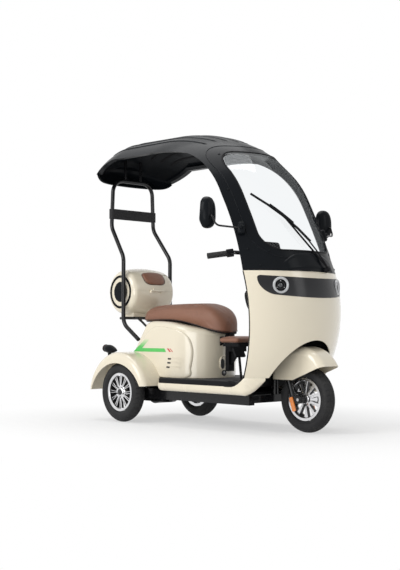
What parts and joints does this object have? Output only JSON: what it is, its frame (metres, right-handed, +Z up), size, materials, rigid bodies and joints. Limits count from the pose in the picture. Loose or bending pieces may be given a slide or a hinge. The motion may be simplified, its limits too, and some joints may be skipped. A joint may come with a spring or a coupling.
{
  "type": "electric tricycle",
  "caption": "Canopied electric tricycle with a steered front wheel, driven rear wheels, windscreen, roof, long saddle, child seat and round tail box.",
  "frame": {"origin": "on the floor under the middle of the bounding box", "axes": "+X to the vehicle's left, +Y to its rear, +Z up"},
  "size_m": [1.0284, 1.6999, 1.6927],
  "materials": {
    "cream_paint": "glossy painted plastic",
    "black_gloss": "glossy black plastic",
    "black_plastic": "satin black plastic",
    "frame_paint": "black powder coat",
    "tyre": "road tyre rubber",
    "rim_alloy": "machined face, dark pockets",
    "steel": "bare steel",
    "brown_leather": "brown synthetic leather",
    "screen_glass": "clear",
    "mirror_glass": "silvered",
    "lamp": "silver lamp with clear lens",
    "smoked_band": "smoked lamp band",
    "amber_lens": "amber reflector",
    "grip_rubber": "moulded rubber",
    "strap_web": "woven strap",
    "battery_case": "battery case"
  },
  "bodies": {
    "chassis": {"battery_pack": "battery_case", "brake_pedal": "black_plastic", "child_seat_bracket": "black_plastic", "child_seat_cushion": "brown_leather", "floor_board": "black_plastic", "frame_rails": "frame_paint", "front_frame": "frame_paint", "headlamps": "lamp", "hoop_strap": "strap_web", "inner_shield": "black_plastic", "leg_shield": "cream_paint", "light_band": "smoked_band", "mirror_arms": "frame_paint", "mirror_glasses": "mirror_glass", "mirror_shells": "black_gloss", "rear_axle": "frame_paint", "rear_dampers": "frame_paint", "rear_fender_left": "cream_paint", "rear_fender_right": "cream_paint", "rear_signals": "black_plastic", "roof_canopy": "black_gloss", "roof_hoop": "frame_paint", "seat_box": "cream_paint", "seat_frame": "frame_paint", "side_cover_left": "cream_paint", "side_cover_right": "cream_paint", "sill_pan": "cream_paint", "tail_box_shell": "cream_paint", "tail_box_trim": "black_gloss", "tail_panel": "cream_paint", "tail_rack": "frame_paint", "trailing_arms": "frame_paint", "windscreen_frame": "black_gloss", "windscreen_glass": "screen_glass", "wiper": "black_plastic"},
    "steering": {"front_fork": "frame_paint", "handlebar": "frame_paint", "grips": "grip_rubber", "switch_housings": "black_plastic", "brake_levers": "frame_paint", "instrument_pod": "black_plastic", "front_fender": "cream_paint", "front_axle": "steel", "fork_reflectors": "amber_lens"},
    "front_wheel": {"front_tyre": "tyre", "front_rim": "rim_alloy"},
    "rear_wheel_left": {"rear_tyre_left": "tyre", "rear_rim_left": "rim_alloy"},
    "rear_wheel_right": {"rear_tyre_right": "tyre", "rear_rim_right": "rim_alloy"},
    "saddle": {"saddle_pan": "black_plastic", "saddle_cushion": "brown_leather"},
    "tail_lid": {"tail_box_lid": "cream_paint", "tail_lid_trim": "black_gloss", "backrest_pad": "brown_leather"}
  },
  "joints": [
    {"name": "steer", "type": "hinge", "parent": "chassis", "child": "steering", "pos_m": [0, -0.648, 0.175], "axis": [0, 0.3256, 0.9455], "range_deg": [-40, 40]},
    {"name": "front_wheel_spin", "type": "hinge", "parent": "steering", "child": "front_wheel", "pos_m": [0, -0.675, 0.175], "axis": [1, 0, 0], "continuous": true},
    {"name": "rear_wheel_left_spin", "type": "hinge", "parent": "chassis", "child": "rear_wheel_left", "pos_m": [0.305, 0.498, 0.175], "axis": [1, 0, 0], "continuous": true},
    {"name": "rear_wheel_right_spin", "type": "hinge", "parent": "chassis", "child": "rear_wheel_right", "pos_m": [-0.305, 0.498, 0.175], "axis": [1, 0, 0], "continuous": true},
    {"name": "saddle_lift", "type": "hinge", "parent": "chassis", "child": "saddle", "pos_m": [0, -0.092, 0.51], "axis": [1, 0, 0], "range_deg": [0, 45]},
    {"name": "tail_lid_lift", "type": "hinge", "parent": "chassis", "child": "tail_lid", "pos_m": [0, 0.546, 0.78], "axis": [1, 0, 0], "range_deg": [0, 60]}
  ]
}
